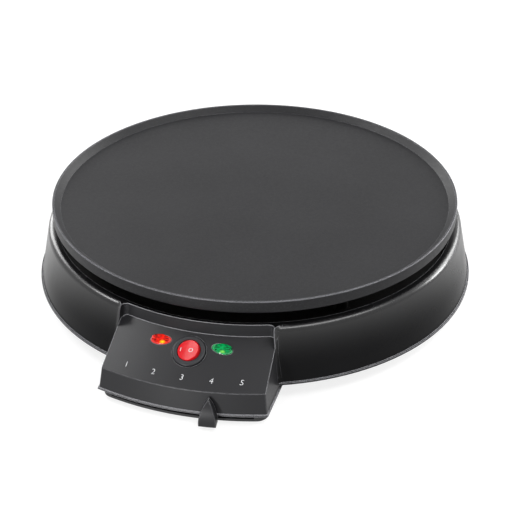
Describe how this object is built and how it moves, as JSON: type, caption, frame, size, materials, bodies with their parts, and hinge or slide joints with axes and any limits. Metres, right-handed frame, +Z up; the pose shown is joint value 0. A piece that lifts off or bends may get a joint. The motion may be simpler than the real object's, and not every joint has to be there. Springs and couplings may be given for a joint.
{
  "type": "electric crepe maker",
  "caption": "Countertop crepe maker: round lift-off non-stick plate on a flared black base with a control pod, rocker switch, lamps and a swinging temperature lever.",
  "frame": {"origin": "middle of the footprint, on the surface that the feet stand on", "axes": "+Z up, the control pod and the lever towards -Y, +X to the right of someone facing the pod"},
  "size_m": [0.3348, 0.3718, 0.074],
  "materials": {
    "gloss_black_plastic": "satin-gloss moulded black plastic",
    "satin_black_plastic": "satin black plastic",
    "matte_black_plastic": "matte black plastic",
    "black_rubber": "matte rubber",
    "zinc_steel": "zinc-plated steel",
    "black_oxide_steel": "black-oxide steel",
    "black_enamel": "matte black enamel on steel sheet",
    "nonstick_coating": "fine-grained dark non-stick coating on cast aluminium",
    "bright_aluminium": "bright rolled aluminium",
    "element_sheath": "dull heat-darkened steel sheath",
    "brass": "plain brass",
    "ceramic_white": "unglazed steatite",
    "red_plastic": "glossy red plastic",
    "red_lens": "clear red faceted lens",
    "green_lens": "clear green faceted lens",
    "lamp_glow_amber": "lit neon tube",
    "lamp_glass": "clear glass tube",
    "white_plastic": "white heat-resistant plastic",
    "bakelite_black": "black phenolic",
    "brown_insulation": "brown wire insulation",
    "blue_insulation": "blue wire insulation",
    "green_insulation": "green-yellow wire insulation",
    "white_insulation": "white wire insulation"
  },
  "bodies": {
    "base": {"base_housing": "gloss_black_plastic", "bottom_cover": "matte_black_plastic", "pod_cover": "matte_black_plastic", "rubber_feet": "black_rubber", "cover_screws": "zinc_steel", "pod_cover_screws": "zinc_steel", "support_posts": "black_oxide_steel", "post_screws": "zinc_steel", "reflector_pan": "black_enamel", "pan_screws": "black_oxide_steel", "heating_element": "element_sheath", "element_terminals": "brass", "element_clips": "zinc_steel", "clip_screws": "zinc_steel", "thermostat_bracket": "zinc_steel", "bracket_screws": "zinc_steel", "thermostat_body": "ceramic_white", "thermostat_nut": "brass", "sensor_head": "bright_aluminium", "switch_housing": "satin_black_plastic", "rocker_pin": "zinc_steel", "switch_terminals": "brass", "power_lens": "red_lens", "ready_lens": "green_lens", "power_lamp": "lamp_glow_amber", "ready_lamp": "lamp_glass", "lamp_holders": "white_plastic", "cord_gland": "black_rubber", "terminal_block": "white_plastic", "thermal_cutout": "bakelite_black", "earth_tab": "brass", "live_leads": "brown_insulation", "neutral_leads": "blue_insulation", "earth_lead": "green_insulation", "lamp_leads": "white_insulation"},
    "plate": {"hot_plate": "nonstick_coating"},
    "lever": {"thermostat_shaft": "zinc_steel", "lever_arm": "zinc_steel", "hub_screw": "zinc_steel", "lever_knob": "gloss_black_plastic"},
    "switch_button": {"rocker": "red_plastic"}
  },
  "joints": [
    {"name": "plate_lift", "type": "slide", "parent": "base", "child": "plate", "axis": [0, 0, 1], "range_m": [0, 0.08]},
    {"name": "lever_swing", "type": "hinge", "parent": "base", "child": "lever", "pos_m": [0, 0.01851, 0.017], "axis": [0, 0, 1], "range_deg": [-19.5, 6.5]},
    {"name": "rocker_tip", "type": "hinge", "parent": "base", "child": "switch_button", "pos_m": [0, -0.14941, 0.03789], "axis": [0, 0.8805, 0.4741], "range_deg": [0, 20]}
  ]
}
